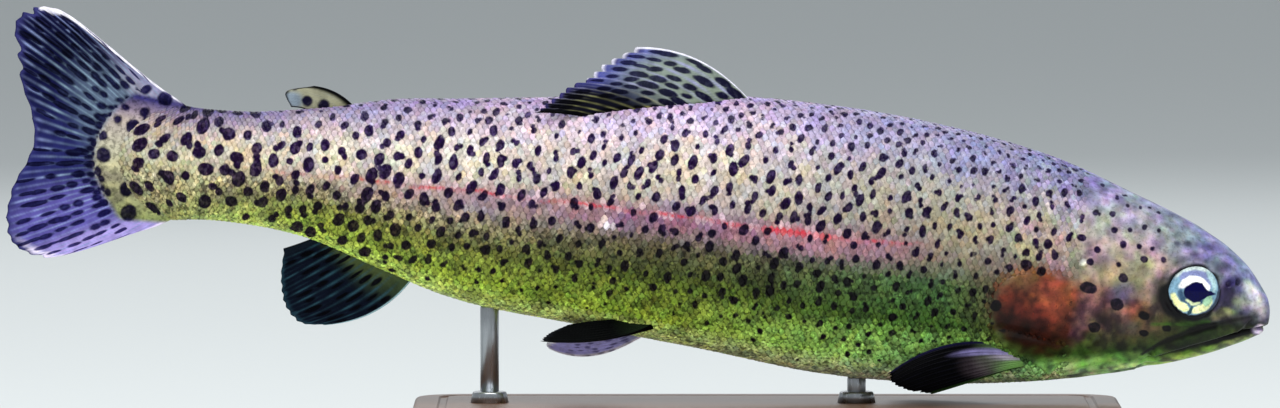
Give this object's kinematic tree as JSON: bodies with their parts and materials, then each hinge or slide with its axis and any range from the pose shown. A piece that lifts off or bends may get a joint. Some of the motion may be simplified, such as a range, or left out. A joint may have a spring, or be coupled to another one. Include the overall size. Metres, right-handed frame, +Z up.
{
  "type": "rainbow trout model",
  "caption": "Life-size rainbow trout swimming nose down a little, head, jaw, gill covers, trunk, tail and fins as separate solids, on a flat base with slim rods.",
  "frame": {"origin": "centre of the stand's underside", "axes": "+X towards the fish's head, -Y towards its right side, +Z up"},
  "size_m": [0.3391, 0.084, 0.1183],
  "materials": {
    "skin": "wet scaly skin, silver-lilac back, rose stripe and olive-yellow belly with black spots",
    "head_skin": "smooth wet skin, grey-lilac above, rosy cheek, olive jaw",
    "gill_cover": "smooth wet skin, rust red darkening to brown",
    "spotted_fin": "thin ribbed membrane, blue-grey with dark spots between the rays",
    "dark_fin": "thin ribbed membrane, blue-black",
    "eye": "clear glossy eye, silver-green iris with a black pupil",
    "stand_wood": "oiled walnut, satin",
    "stand_steel": "satin turned rod"
  },
  "bodies": {
    "root": {"trunk": "skin", "tail_stalk": "skin", "head": "head_skin", "lower_jaw": "head_skin", "maxilla_right": "head_skin", "maxilla_left": "head_skin", "gill_cover_right": "gill_cover", "gill_cover_left": "gill_cover", "dorsal_fin": "spotted_fin", "adipose_fin": "spotted_fin", "caudal_fin": "spotted_fin", "anal_fin": "dark_fin", "pectoral_fin_right": "dark_fin", "pectoral_fin_left": "dark_fin", "pelvic_fin_right": "dark_fin", "pelvic_fin_left": "dark_fin", "eye_right": "eye", "eye_left": "eye", "stand_base": "stand_wood", "stand_rod_front": "stand_steel", "stand_rod_rear": "stand_steel"}
  },
  "joints": []
}
